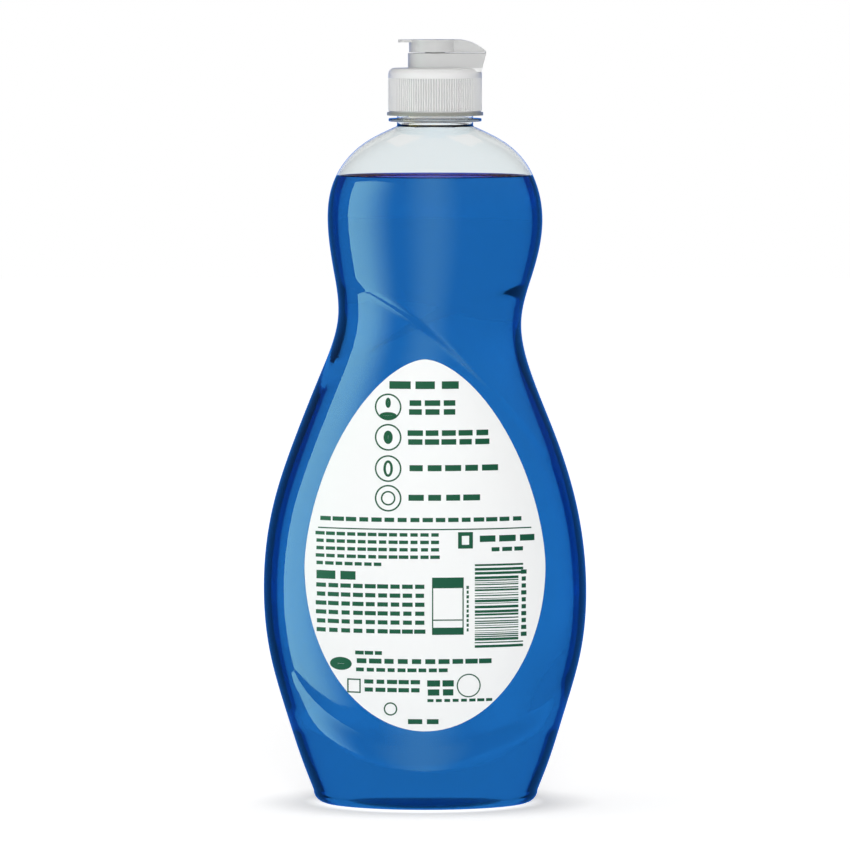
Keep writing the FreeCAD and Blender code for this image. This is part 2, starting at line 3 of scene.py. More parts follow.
import bpy
import numpy as np
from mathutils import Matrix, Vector


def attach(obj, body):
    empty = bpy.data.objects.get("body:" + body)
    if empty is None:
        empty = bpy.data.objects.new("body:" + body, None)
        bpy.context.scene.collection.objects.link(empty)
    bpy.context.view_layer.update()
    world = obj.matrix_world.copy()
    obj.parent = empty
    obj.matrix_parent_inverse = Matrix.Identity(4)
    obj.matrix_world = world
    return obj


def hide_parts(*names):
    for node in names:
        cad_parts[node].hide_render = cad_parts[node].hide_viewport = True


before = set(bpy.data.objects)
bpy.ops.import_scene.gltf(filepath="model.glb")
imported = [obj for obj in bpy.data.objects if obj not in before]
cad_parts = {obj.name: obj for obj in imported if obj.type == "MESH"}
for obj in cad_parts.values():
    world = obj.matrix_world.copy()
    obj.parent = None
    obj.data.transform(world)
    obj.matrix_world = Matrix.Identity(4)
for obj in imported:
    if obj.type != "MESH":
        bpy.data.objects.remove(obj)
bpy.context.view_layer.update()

# Bottle. One blown piece of clear PET: oval with a waist and a round bulb above it, thin in
# the wall, with a leaf-shaped panel sunk into each face behind a soft bevel. Neck, support
# ring and thread are left from the preform that it was blown from, so they are thicker.
MM = 0.001
WALL = 0.6
HEEL = 4.0
PUSH_UP = 3.0
FOOT_FLAT = 3.0
PANEL_DEEP = 1.0
PANEL_SIDE = 0.25
SIDE_FADE = 0.4
AXIS_X = 3.2
NECK_RADIUS = 12.1
NECK_BORE = 10.8
NECK_ROOT = 216.6
NECK_TOP = 232.8
RING_Z = 218.1
RING_THICK = 0.95
RING_RADIUS = 14.75
THICKEN_FROM = 204.0
FILL = 201.0
# height, half-width, half-depth and lean to the right of each level, from the heel up
LEVELS = [
    (4.0, 35.95, 21.25, 0.2), (13.0, 39.4, 23.3, 0.2), (28.0, 44.2, 25.1, 0.1),
    (48.0, 49.7, 26.6, 0.1), (70.0, 51.6, 27.1, 0.0), (97.0, 48.2, 26.8, 0.0),
    (118.0, 41.45, 25.5, 0.2), (138.0, 33.55, 23.7, 0.3), (155.5, 29.25, 22.6, 1.5),
    (171.0, 31.9, 23.0, 2.75), (186.0, 34.15, 23.6, 3.2), (199.0, 32.1, 22.25, 3.05),
    (207.5, 26.8, 19.25, 3.2), (213.0, 19.6, 15.5, 3.2),
]
# the panel's edge as x, z and how wide its bevel is there, clockwise from the left waist
PANEL_EDGE = [
    (-31.4, 171.0, 3.4), (-21.1, 167.6, 2.8), (0.0, 154.6, 2.0), (19.5, 135.9, 1.2),
    (35.9, 116.7, 1.0), (43.9, 101.3, 1.2), (47.3, 83.5, 1.4), (47.3, 65.7, 1.8),
    (44.5, 38.0, 3.0), (29.8, 23.6, 5.0), (0.0, 15.0, 5.7), (-27.3, 21.5, 5.7),
    (-43.2, 36.6, 5.0), (-55.9, 61.4, 3.0),
]
BEVEL_SOFT = 0.12
# how finely the skins are drawn: points round, rings up the body, the push-up and the heel
AROUND = 240
BODY_RINGS = 236
PUSH_UP_RINGS = 9
HEEL_RINGS = 7
# edges sharper than this many degrees stay crisp, as on the support ring
CRISP_EDGE = 28


def natural_spline(knots, values, at):
    """A natural cubic spline through values at knots, read at the places in at."""
    knots, values, at = (np.asarray(v, float) for v in (knots, values, at))
    gaps = np.diff(knots)
    count = len(knots)
    rows = np.zeros((count, count))
    right = np.zeros(count)
    rows[0, 0] = rows[-1, -1] = 1.0
    for i in range(1, count - 1):
        rows[i, i - 1:i + 2] = gaps[i - 1], 2 * (gaps[i - 1] + gaps[i]), gaps[i]
        right[i] = 6 * ((values[i + 1] - values[i]) / gaps[i]
                        - (values[i] - values[i - 1]) / gaps[i - 1])
    bend = np.linalg.solve(rows, right)
    i = np.clip(np.searchsorted(knots, at) - 1, 0, count - 2)
    gap = gaps[i]
    p = (knots[i + 1] - at) / gap
    q = (at - knots[i]) / gap
    return (p * values[i] + q * values[i + 1]
            + ((p ** 3 - p) * bend[i] + (q ** 3 - q) * bend[i + 1]) * gap * gap / 6)


def level_at(z):
    """Half-width, half-depth and lean of the bottle's body at the height z."""
    knots = [level[0] for level in LEVELS] + [NECK_ROOT]
    ends = (NECK_RADIUS, NECK_RADIUS, AXIS_X)
    return [float(natural_spline(knots, [level[k] for level in LEVELS] + [ends[k - 1]], z))
            for k in (1, 2, 3)]


along = np.arange(len(PANEL_EDGE))
fine = np.linspace(0, len(PANEL_EDGE) - 1, 331)
edge_line = np.stack([natural_spline(along, np.array(PANEL_EDGE)[:, k], fine)
                      for k in range(3)], axis=1)


def panel_share(x, z):
    """0 outside the panel, rising across its bevel to 1 on its floor, at points in a row."""
    start = edge_line[:-1, :2]
    step = edge_line[1:, :2] - start
    to_x = x[:, None] - start[:, 0]
    to_z = z[:, None] - start[:, 1]
    part = (to_x * step[:, 0] + to_z * step[:, 1]) / (step ** 2).sum(axis=1)
    part = np.clip(part, 0, 1)
    far = np.hypot(to_x - part * step[:, 0], to_z - part * step[:, 1])
    nearest = far.argmin(axis=1)
    depth = far.min(axis=1) / edge_line[nearest, 2]
    loop = np.vstack([edge_line[:, :2], (edge_line[-1, 0], edge_line[0, 1])])
    after = np.roll(loop, -1, axis=0)
    crosses = (loop[:, 1] > z[:, None]) != (after[:, 1] > z[:, None])
    rise = np.where(after[:, 1] == loop[:, 1], 1, after[:, 1] - loop[:, 1])
    at = loop[:, 0] + (z[:, None] - loop[:, 1]) * (after[:, 0] - loop[:, 0]) / rise
    inside = (crosses & (x[:, None] < at)).sum(axis=1) % 2 == 1
    share = np.where(inside, np.clip(depth, 0, 1), 0)
    foot = BEVEL_SOFT / 2 * (1 - np.clip(share / BEVEL_SOFT, 0, 1)) ** 2
    brow = BEVEL_SOFT / 2 * (1 - np.clip((1 - share) / BEVEL_SOFT, 0, 1)) ** 2
    return np.where(inside, np.clip(share + foot - brow, 0, 1), 0)


def body_ring(z, skin, heel_angle=None):
    """The points of one level of a skin of the body, with both panels sunk in."""
    t = np.linspace(0, 2 * math.pi, AROUND, endpoint=False)
    half_wide, half_deep, lean = level_at(z if heel_angle is None else HEEL)
    if heel_angle is not None:
        reach = HEEL - skin
        z = HEEL - reach * math.cos(heel_angle)
        skin = HEEL - reach * math.sin(heel_angle)
    x = lean + (half_wide - skin) * np.cos(t)
    share = panel_share(np.where(np.sin(t) < 0, x, -x), np.full(AROUND, z))
    share = share * np.clip(np.abs(np.sin(t)) / SIDE_FADE, 0, 1)
    x = x - PANEL_SIDE * share * np.cos(t)
    y = (half_deep - skin - PANEL_DEEP * share) * np.sin(t)
    return np.stack([x, y, np.full(AROUND, z)], axis=1)


def round_ring(radius, z):
    """The points of one level of the neck."""
    t = np.linspace(0, 2 * math.pi, AROUND, endpoint=False)
    return np.stack([AXIS_X + radius * np.cos(t), radius * np.sin(t), np.full(AROUND, z)], axis=1)


def skin_rings(skin, heights):
    """A skin of the body from the middle of the base up: push-up, standing ring, heel and
    then the levels at heights."""
    inward = HEEL + FOOT_FLAT - skin
    t = np.linspace(0, 2 * math.pi, AROUND, endpoint=False)
    rings = []
    for angle in np.linspace(0, math.pi / 2, PUSH_UP_RINGS)[1:]:
        reach = math.sin(angle)
        z = max((PUSH_UP + skin) * math.cos(angle), skin)
        rings.append(np.stack([
            LEVELS[0][3] + (LEVELS[0][1] - inward) * reach * np.cos(t),
            (LEVELS[0][2] - inward) * reach * np.sin(t),
            np.full(AROUND, z),
        ], axis=1))
    for angle in np.linspace(0, math.pi / 2, HEEL_RINGS):
        rings.append(body_ring(HEEL, skin, heel_angle=angle))
    for z in heights:
        # the inner skin draws in towards the neck, where the wall is thicker
        grown = max(0.0, (z - THICKEN_FROM) / (NECK_ROOT - THICKEN_FROM)) ** 2 if skin else 0.0
        rings.append(body_ring(float(z), skin + (NECK_RADIUS - NECK_BORE - WALL) * grown))
    return rings


def loft(name, rings, first_pole, last_pole):
    """A closed mesh through rings of points, closed by a point at each end."""
    count = len(rings[0])
    verts = np.vstack([[first_pole], *rings, [last_pole]]) * MM
    faces = []
    for k in range(count):
        after = (k + 1) % count
        faces.append((0, 1 + after, 1 + k))
        for r in range(len(rings) - 1):
            low = 1 + r * count
            faces.append((low + k, low + after, low + count + after, low + count + k))
        last = 1 + (len(rings) - 1) * count
        faces.append((last + k, last + after, len(verts) - 1))
    mesh = bpy.data.meshes.new(name)
    mesh.from_pydata(verts.tolist(), [], faces)
    mesh.shade_smooth()
    mesh.set_sharp_from_angle(angle=math.radians(CRISP_EDGE))
    return mesh


def add_node(tree, kind, links=(), inputs=(), **settings):
    """A node with its settings, its input values, and links as (input, output of another)."""
    node = tree.nodes.new(kind)
    for name, value in settings.items():
        setattr(node, name, value)
    for socket, value in inputs:
        node.inputs[socket].default_value = value
    for socket, source in links:
        tree.links.new(source, node.inputs[socket])
    return node


def srgb(code):
    """A colour written as sRGB hex, turned to linear."""
    parts = [int(code[i:i + 2], 16) / 255 for i in (1, 3, 5)]
    return (*[c / 12.92 if c <= 0.04045 else ((c + 0.055) / 1.055) ** 2.4 for c in parts], 1.0)


def new_material(name):
    """An empty node material and its output node."""
    material = bpy.data.materials.new(name)
    material.use_nodes = True
    material.node_tree.nodes.clear()
    return material, add_node(material.node_tree, "ShaderNodeOutputMaterial")


def add_piece(name, mesh, material, body):
    """A piece at the origin, with its material and its body."""
    piece = bpy.data.objects.new(name, mesh)
    bpy.context.scene.collection.objects.link(piece)
    mesh.materials.clear()
    mesh.materials.append(material)
    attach(piece, body)
    return piece


body_heights = np.linspace(HEEL, NECK_ROOT - 0.6, BODY_RINGS)[1:]
# radius and height: up the outside, over the ring and the rim, and down the bore
neck_profile = [
    (NECK_RADIUS + 0.15, NECK_ROOT - 0.1), (NECK_RADIUS, NECK_ROOT + 0.25),
    (NECK_RADIUS, RING_Z - 0.15), (NECK_RADIUS + 0.15, RING_Z), (RING_RADIUS - 0.2, RING_Z),
    (RING_RADIUS - 0.05, RING_Z + 0.05), (RING_RADIUS, RING_Z + 0.2),
    (RING_RADIUS, RING_Z + RING_THICK - 0.2), (RING_RADIUS - 0.05, RING_Z + RING_THICK - 0.05),
    (RING_RADIUS - 0.2, RING_Z + RING_THICK), (NECK_RADIUS + 0.15, RING_Z + RING_THICK),
    (NECK_RADIUS, RING_Z + RING_THICK + 0.15), (NECK_RADIUS, NECK_TOP - 0.4),
    (NECK_RADIUS - 0.1, NECK_TOP - 0.1), (NECK_RADIUS - 0.35, NECK_TOP),
    (NECK_BORE + 0.3, NECK_TOP), (NECK_BORE + 0.05, NECK_TOP - 0.1),
    (NECK_BORE, NECK_TOP - 0.35), (NECK_BORE, NECK_ROOT + 0.5),
]
outside = skin_rings(0.0, body_heights) + [round_ring(radius, z) for radius, z in neck_profile]
bottle_mesh = loft(
    "blown_bottle", outside + skin_rings(WALL, body_heights[1::2])[::-1],
    (LEVELS[0][3], 0, PUSH_UP), (LEVELS[0][3], 0, PUSH_UP + WALL),
)

# clear PET, blown against a polished mould: glassy, with sharp reflections and dark rims
pet, pet_out = new_material("clear blown PET")
plastic = add_node(pet.node_tree, "ShaderNodeBsdfPrincipled", inputs=[
    ("Base Color", srgb("#F8F8F7")), ("Roughness", 0.03), ("IOR", 1.57),
    ("Transmission Weight", 1.0)])
pet.node_tree.links.new(plastic.outputs[0], pet_out.inputs["Surface"])
blown_bottle = add_piece("blown_bottle", bottle_mesh, pet, "bottle")
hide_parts("bottle")

# the inner wall where soap wets it: PET against soap, 1.57 / 1.36, so it hardly mirrors
wet_pet, wet_out = new_material("PET wetted by soap")
wet_wall = add_node(wet_pet.node_tree, "ShaderNodeBsdfPrincipled", inputs=[
    ("Base Color", srgb("#FAFAFA")), ("Roughness", 0.0), ("IOR", 1.154),
    ("Transmission Weight", 1.0)])
wet_pet.node_tree.links.new(wet_wall.outputs[0], wet_out.inputs["Surface"])

# the empty shoulder and neck: air on both sides, so they look thinner and mirror less, and
# what they mirror is toned warm to come out grey
dry_pet, dry_out = new_material("PET with air inside")
dry_wall = add_node(dry_pet.node_tree, "ShaderNodeBsdfPrincipled", inputs=[
    ("Base Color", srgb("#F7F7F6")), ("Roughness", 0.02), ("IOR", 1.57),
    ("Specular IOR Level", 0.1), ("Specular Tint", srgb("#FFB070")),
    ("Transmission Weight", 1.0)])
dry_pet.node_tree.links.new(dry_wall.outputs[0], dry_out.inputs["Surface"])

# the support ring is solid and seen edge-on, through 29 mm of plastic, so it goes dark; that
# dark is painted shade, put into its grey base colour
dark_painted_ring_pet, edge_out = new_material("PET seen edge-on")
edge = add_node(dark_painted_ring_pet.node_tree, "ShaderNodeBsdfPrincipled", inputs=[
    ("Base Color", srgb("#8C9094")), ("Roughness", 0.05), ("IOR", 1.57),
    ("Specular IOR Level", 0.3), ("Specular Tint", srgb("#FFA858")),
    ("Transmission Weight", 1.0)])
dark_painted_ring_pet.node_tree.links.new(edge.outputs[0], edge_out.inputs["Surface"])

WETTED, DRY, EDGE_ON = 1, 2, 3
for material in (wet_pet, dry_pet, dark_painted_ring_pet):
    bottle_mesh.materials.append(material)
first_inside = 1 + AROUND * len(outside)
for face in bottle_mesh.polygons:
    z = face.center.z / MM
    from_axis = math.hypot(face.center.x / MM - AXIS_X, face.center.y / MM)
    if z > RING_Z - 0.1 and from_axis > NECK_RADIUS + 0.2:
        face.material_index = EDGE_ON
    elif z > FILL:
        face.material_index = DRY
    elif min(face.vertices) >= first_inside:
        face.material_index = WETTED

# the neck's thread, a single right-hand ridge moulded with the preform, under the cap
THREAD_PITCH = 4.23
THREAD_START = 222.05
THREAD_TALL = 7.95
THREAD_TIP = 13.1
THREAD_SUNK = 0.1
# the ridge's section as rise and share of its height, and how it runs out at its two ends
THREAD_SIDES = ((-0.75, 0.0), (-0.35, 1.0), (0.35, 1.0), (0.75, 0.0))
RUN_OUT_DEGREES = 40
END_WIDTH = 0.3
turns = THREAD_TALL / THREAD_PITCH
steps = 181
thread_verts = []
for k in range(steps):
    turn = 2 * math.pi * turns * k / (steps - 1)
    run = turns * 360 * k / (steps - 1)
    grown = min(1.0, run / RUN_OUT_DEGREES, (turns * 360 - run) / RUN_OUT_DEGREES)
    for rise, share in THREAD_SIDES:
        radius = NECK_RADIUS - THREAD_SUNK
        radius += (THREAD_TIP - NECK_RADIUS + THREAD_SUNK) * share * grown
        z = THREAD_START + THREAD_TALL * k / (steps - 1)
        z += rise * (END_WIDTH + (1 - END_WIDTH) * grown)
        thread_verts.append((
            (AXIS_X + radius * math.cos(turn)) * MM, radius * math.sin(turn) * MM, z * MM))
thread_faces = [(0, 1, 2, 3), tuple(4 * (steps - 1) + k for k in (3, 2, 1, 0))]
for k in range(steps - 1):
    for side in range(4):
        after = (side + 1) % 4
        thread_faces.append((4 * k + side, 4 * k + 4 + side, 4 * k + 4 + after, 4 * k + after))
thread_mesh = bpy.data.meshes.new("neck_thread")
thread_mesh.from_pydata(thread_verts, [], thread_faces)
add_piece("neck_thread", thread_mesh, dry_pet, "bottle")

# Soap. A clear deep-blue liquid that wets the plastic all round, up to the middle of the
# bulb, with a low meniscus where its surface meets the wall.
WETTING = 0.04
MENISCUS = 0.6
# the meniscus, as rise above the flat surface and way in from the wall
MENISCUS_CURVE = ((0.35, 0.0), (MENISCUS, 0.0), (0.45, 0.4), (0.2, 1.0), (0.05, 2.0), (0.0, 4.0))
BULB_LEAN = LEVELS[11][3]
soap_skin = WALL - WETTING
soap_rings = skin_rings(soap_skin, body_heights[body_heights < FILL - MENISCUS - 0.3])
for lift, draw_in in MENISCUS_CURVE:
    soap_rings.append(body_ring(FILL - MENISCUS + lift, soap_skin + draw_in))
rim = soap_rings[-1]
middle = np.array([BULB_LEAN, 0, FILL - MENISCUS])
for share in (0.66, 0.33):
    soap_rings.append(middle + (rim - middle) * share)
soap_mesh = loft("soap_fill", soap_rings, (LEVELS[0][3], 0, PUSH_UP + soap_skin), middle)

# dish soap: clear, dyed a deep blue that takes all the red out of what is seen through it.
# The wall that it wets bends the light for both, so the soap's own side doesn't
dyed_soap, soap_out = new_material("blue dish soap")
liquid = add_node(dyed_soap.node_tree, "ShaderNodeBsdfPrincipled", inputs=[
    ("Base Color", srgb("#1B67B2")), ("Roughness", 0.0), ("IOR", 1.0),
    ("Transmission Weight", 1.0)])
dyed_soap.node_tree.links.new(liquid.outputs[0], soap_out.inputs["Surface"])
soap_fill = add_piece("soap_fill", soap_mesh, dyed_soap, "bottle")
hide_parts("dish_soap")

# its free surface, seen at a low angle through the whole bulb: nearly violet, with only a
# weak image of the wall behind it
soap_top, top_out = new_material("surface of blue dish soap")
through = add_node(soap_top.node_tree, "ShaderNodeBsdfRefraction", inputs=[
    ("Color", srgb("#3048D0")), ("Roughness", 0.0), ("IOR", 1.36)])
mirrored = add_node(soap_top.node_tree, "ShaderNodeBsdfGlass", inputs=[
    ("Color", srgb("#8FB4FF")), ("Roughness", 0.0), ("IOR", 1.36)])
surface = add_node(soap_top.node_tree, "ShaderNodeMixShader", inputs=[(0, 0.35)],
                   links=[(1, through.outputs[0]), (2, mirrored.outputs[0])])
soap_top.node_tree.links.new(surface.outputs[0], top_out.inputs["Surface"])
soap_mesh.materials.append(soap_top)
for face in soap_mesh.polygons:
    if face.center.z > (FILL - MENISCUS - 0.1) * MM and face.normal.z > 0.5:
        face.material_index = 1

# Cap, lid and liner. Injection-moulded natural polypropylene, screwed on; the lid is one
# moulding with the cap and folds back on its thin hinge. The liner is a soft white foam.
BEAD_TOP = 221.0
RIB_TOP = 231.8
DECK_TOP = 235.0
GROOVE_RADIUS = 14.55
RIB_RADIUS = 14.8
STEP_BLUR = 0.2

# natural PP: milky and satin, glowing a little from inside. Its colour has painted light and
# shade: the outer faces of the ribs and the band above them up to the deck are painted lighter,
# the grooves between the ribs, the turret and the lid are painted a shade darker, and the solid
# bead at the foot is painted darker still, as painted shade
natural_pp, pp_out = new_material("natural moulded PP")
tree = natural_pp.node_tree
place = add_node(tree, "ShaderNodeTexCoord")
place = add_node(tree, "ShaderNodeSeparateXYZ", links=[(0, place.outputs["Object"])])
above_bead = add_node(tree, "ShaderNodeMapRange", inputs=[
    ("From Min", BEAD_TOP * MM), ("From Max", (BEAD_TOP + STEP_BLUR) * MM)],
    links=[("Value", place.outputs["Z"])])
flat = add_node(tree, "ShaderNodeCombineXYZ", inputs=[(2, 0.0)],
                links=[(0, place.outputs["X"]), (1, place.outputs["Y"])])
from_axis = add_node(tree, "ShaderNodeVectorMath", operation="DISTANCE",
                     inputs=[(1, (AXIS_X * MM, 0, 0))], links=[(0, flat.outputs[0])])
outermost = add_node(tree, "ShaderNodeMapRange", inputs=[
    ("From Min", GROOVE_RADIUS * MM), ("From Max", RIB_RADIUS * MM)],
    links=[("Value", from_axis.outputs["Value"])])
above_ribs = add_node(tree, "ShaderNodeMapRange", inputs=[
    ("From Min", RIB_TOP * MM), ("From Max", (RIB_TOP + STEP_BLUR) * MM)],
    links=[("Value", place.outputs["Z"])])
under_turret = add_node(tree, "ShaderNodeMapRange", inputs=[
    ("From Min", (DECK_TOP + 0.15) * MM), ("From Max", DECK_TOP * MM)],
    links=[("Value", place.outputs["Z"])])
bright = add_node(tree, "ShaderNodeMath", operation="MAXIMUM", links=[
    (0, outermost.outputs[0]), (1, above_ribs.outputs[0])])
bright = add_node(tree, "ShaderNodeMath", operation="MULTIPLY", links=[
    (0, bright.outputs[0]), (1, under_turret.outputs[0])])
# painted light on the outer ribs and the band above them, painted shade in the grooves, turret and
# lid
painted_light_and_shade = add_node(tree, "ShaderNodeMix", data_type="RGBA", inputs=[
    (6, srgb("#CBCBCA")), (7, srgb("#E9E9E8"))], links=[(0, bright.outputs[0])])
# painted shade: the solid bead at the foot is painted darker
pp_tone_with_painted_shade = add_node(tree, "ShaderNodeMix", data_type="RGBA", inputs=[(6, srgb("#96978F"))],
                links=[(0, above_bead.outputs[0]), (7, painted_light_and_shade.outputs[2])])
pp = add_node(tree, "ShaderNodeBsdfPrincipled", inputs=[
    ("Roughness", 0.32), ("IOR", 1.49), ("Specular IOR Level", 0.12), ("Subsurface Weight", 0.25),
    ("Subsurface Radius", (1.0, 1.0, 1.0)), ("Subsurface Scale", 0.002)],
    links=[("Base Color", pp_tone_with_painted_shade.outputs[2])])
tree.links.new(pp.outputs[0], pp_out.inputs["Surface"])

# foamed polyethylene: soft, white and fully matt
foam, foam_out = new_material("white foam liner")
foam_skin = add_node(foam.node_tree, "ShaderNodeBsdfPrincipled", inputs=[
    ("Base Color", srgb("#EFEFEC")), ("Roughness", 0.9)])
foam.node_tree.links.new(foam_skin.outputs[0], foam_out.inputs["Surface"])
for node, material in (("cap_base", natural_pp), ("flip_lid", natural_pp), ("cap_liner", foam)):
    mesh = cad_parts[node].data
    mesh.materials.clear()
    mesh.materials.append(material)

# Label. A white plastic film cut to an egg, stuck down on the floor of the front panel and
# printed in dark green. The print is plain shapes, stripes and rows of dashes.
LABEL_MIDDLE = 78.0
LABEL_WIDE = 38.1
LABEL_LOW = 51.8
LABEL_HIGH = 65.9
LABEL_SLIM = 1.67
FILM_ROWS = 97
FILM_COLUMNS = 65
NARROWEST = 0.05
ADHESIVE = 0.03
FILM = 0.09
INK = 0.04
panel_z = np.linspace(20.0, 150.0, 261)
panel_sizes = np.array([level_at(z) for z in panel_z]).T


def on_panel(x, z, lift):
    """The y of points that lie lift mm off the floor of the front panel."""
    half_wide, half_deep, lean = (np.interp(z, panel_z, sizes) for sizes in panel_sizes)
    across = (x - lean) / (half_wide - PANEL_SIDE)
    return -(half_deep - PANEL_DEEP + lift) * np.sqrt(1 - across ** 2)


def film_mesh(name, patches, low, high):
    """A closed film from low to high off the panel's floor. Each patch is rows of x, z."""
    verts = []
    faces = []
    for patch in patches:
        points = np.asarray(patch, float)
        rows, cols = points.shape[:2]
        x, z = points[..., 0].ravel(), points[..., 1].ravel()
        front = len(verts)
        back = front + rows * cols
        for lift in (high, low):
            verts.extend((np.stack([x, on_panel(x, z, lift), z], axis=1) * MM).tolist())
        for r in range(rows - 1):
            for c in range(cols - 1):
                k = r * cols + c
                corners = (k, k + 1, k + cols + 1, k + cols)
                faces.append(tuple(front + i for i in corners))
                faces.append(tuple(back + i for i in reversed(corners)))
        rim = list(range(cols)) + [r * cols + cols - 1 for r in range(1, rows)]
        rim += [(rows - 1) * cols + c for c in range(cols - 2, -1, -1)]
        rim += [r * cols for r in range(rows - 2, 0, -1)]
        for i, k in enumerate(rim):
            after = rim[(i + 1) % len(rim)]
            faces.append((front + after, front + k, back + k, back + after))
    mesh = bpy.data.meshes.new(name)
    mesh.from_pydata(verts, [], faces)
    return mesh


label_rows = []
for angle in np.linspace(-math.pi / 2, math.pi / 2, FILM_ROWS):
    wide, tall = math.cos(angle), math.sin(angle)
    if angle > 0:
        wide = wide ** (2 / LABEL_SLIM)
        tall = LABEL_HIGH * tall ** (2 / LABEL_SLIM)
    else:
        tall = LABEL_LOW * tall
    across = np.linspace(-1, 1, FILM_COLUMNS) * max(wide * LABEL_WIDE, NARROWEST)
    label_rows.append(np.stack([across, np.full(FILM_COLUMNS, LABEL_MIDDLE + tall)], axis=1))

# white film: satin, and opaque enough that no blue shows through
film, film_out = new_material("white label film")
film_skin = add_node(film.node_tree, "ShaderNodeBsdfPrincipled", inputs=[
    ("Base Color", srgb("#F6F7F6")), ("Roughness", 0.4), ("Specular IOR Level", 0.2)])
film.node_tree.links.new(film_skin.outputs[0], film_out.inputs["Surface"])
label_film = add_piece(
    "label_film", film_mesh("label_film", [label_rows], ADHESIVE, ADHESIVE + FILM), film,
    "bottle")
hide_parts("label")

# dark green ink: thin, matt, with a little of the white film showing through
ink, ink_out = new_material("dark green printing ink")
ink_skin = add_node(ink.node_tree, "ShaderNodeBsdfPrincipled", inputs=[
    ("Base Color", srgb("#10512A")), ("Roughness", 0.5)])
ink.node_tree.links.new(ink_skin.outputs[0], ink_out.inputs["Surface"])


BAR_STEP = 2
OVAL_POINTS = 49
OVAL_RINGS = 5


def bar(left, right, low, high):
    """A patch with straight sides, in steps of 2 mm so that it follows the panel."""
    x = np.linspace(left, right, math.ceil((right - left) / BAR_STEP) + 1)
    z = np.linspace(low, high, math.ceil((high - low) / BAR_STEP) + 1)
    return np.stack(np.meshgrid(x, z), axis=-1)


def frame_bars(left, right, low, high, band):
    """The four bars of a frame that is as thick as band."""
    return [
        bar(left, right, low, low + band), bar(left, right, high - band, high),
        bar(left, left + band, low + band, high - band),
        bar(right - band, right, low + band, high - band),
    ]


def oval(x, z, wide, tall, band=None):
    """An oval ring as thick as band, or a filled oval."""
    turn = np.linspace(2 * math.pi, 0, OVAL_POINTS)
    inner = 0.99 * min(wide, tall) / 2 if band is None else band
    return [np.stack([x + (wide / 2 - less) * np.cos(turn), z + (tall / 2 - less) * np.sin(turn)],
                     axis=1) for less in np.linspace(inner, 0, OVAL_RINGS)]


# four ringed signs in a column, then the rules, boxes and ovals lower down
marks = [oval(-11.6, z, 8.4, 8.4, 0.5) for z in (128.9, 119.4, 109.6, 100.3)]
marks += [
    oval(-11.6, 126.2, 5.4, 2.2), oval(-11.6, 130.2, 1.7, 3.2), oval(-11.6, 119.4, 2.9, 4.2),
    oval(-11.6, 109.6, 3.0, 5.2, 0.8), oval(-11.6, 100.3, 4.6, 4.6, 0.5),
    bar(-33.8, 33.6, 90.3, 90.7), bar(2.2, 12.2, 71.9, 75.3), bar(2.2, 12.2, 57.1, 59.4),
    bar(2.2, 12.2, 61.6, 62.0), bar(2.2, 2.6, 59.4, 71.9), bar(11.8, 12.2, 59.4, 71.9),
    oval(-26.6, 47.5, 6.9, 4.2), oval(13.8, 40.8, 7.6, 7.6, 0.4), oval(-10.9, 33.3, 4.3, 4.3, 0.45),
]
marks += frame_bars(10.4, 15.1, 84.4, 89.6, 1.2)
marks += frame_bars(-24.6, -20.3, 38.2, 42.8, 0.45)

# a block of stripes on the right, of uneven thickness
STRIPES_TOP = 79.4
STRIPES_FOOT = 52.3
STRIPES_LEFT = 15.7
STRIPES_RIGHT = 31.0
STRIPES_SHORT = 29.5
STRIPES_LONG_END = 2.6
thickness = np.random.default_rng(4)
z = STRIPES_TOP
while z > STRIPES_FOOT + 0.8:
    stripe = thickness.choice([0.22, 0.22, 0.4, 0.4, 0.62, 0.84])
    short = STRIPES_TOP - STRIPES_LONG_END > z > STRIPES_FOOT + STRIPES_LONG_END
    reach = STRIPES_SHORT if short else STRIPES_RIGHT
    marks.append(bar(STRIPES_LEFT, reach, z - stripe, z))
    z -= stripe + thickness.choice([0.25, 0.25, 0.42, 0.6])
add_piece("label_marks", film_mesh("label_marks", marks, ADHESIVE + FILM - INK / 2,
                                   ADHESIVE + FILM + INK / 2), ink, "bottle")

# blocks of dashes: left and right end, height of the top line, drop to the next, how many
# lines, and how tall a dash is
PRINT_BLOCKS = [
    (-11.8, 11.9, 135.8, 0.0, 1, 2.4), (-5.7, 10.4, 130.2, 2.8, 2, 1.75),
    (-5.7, 20.7, 120.8, 2.8, 2, 1.75), (-5.7, 23.4, 109.8, 0.0, 1, 1.9),
    (-5.7, 17.6, 100.5, 0.0, 1, 1.9), (-33.4, 31.1, 93.5, 0.0, 1, 1.35),
    (-34.8, 4.8, 88.8, 2.35, 4, 1.1), (-34.8, -13.4, 79.4, 0.0, 1, 1.1),
    (-34.8, -20.8, 75.7, 0.0, 1, 2.7), (-34.8, 0.3, 72.4, 2.85, 6, 1.35),
    (16.6, 35.4, 87.4, 0.0, 1, 2.0), (20.4, 31.4, 84.0, 0.0, 1, 1.3),
    (30.2, 32.2, 76.6, 2.2, 10, 1.35), (13.0, 13.9, 72.1, 1.5, 10, 1.0),
    (-22.2, -13.2, 51.2, 0.0, 1, 1.2), (-22.2, 21.2, 48.6, 0.0, 1, 1.55),
    (-22.2, 7.4, 45.8, 0.0, 1, 1.2), (-19.6, -1.2, 42.0, 2.6, 2, 1.35),
    (0.4, 9.6, 41.6, 2.9, 2, 2.0), (0.4, 21.6, 36.1, 0.0, 1, 0.95),
    (-5.9, 5.2, 29.3, 0.0, 1, 1.6),
]
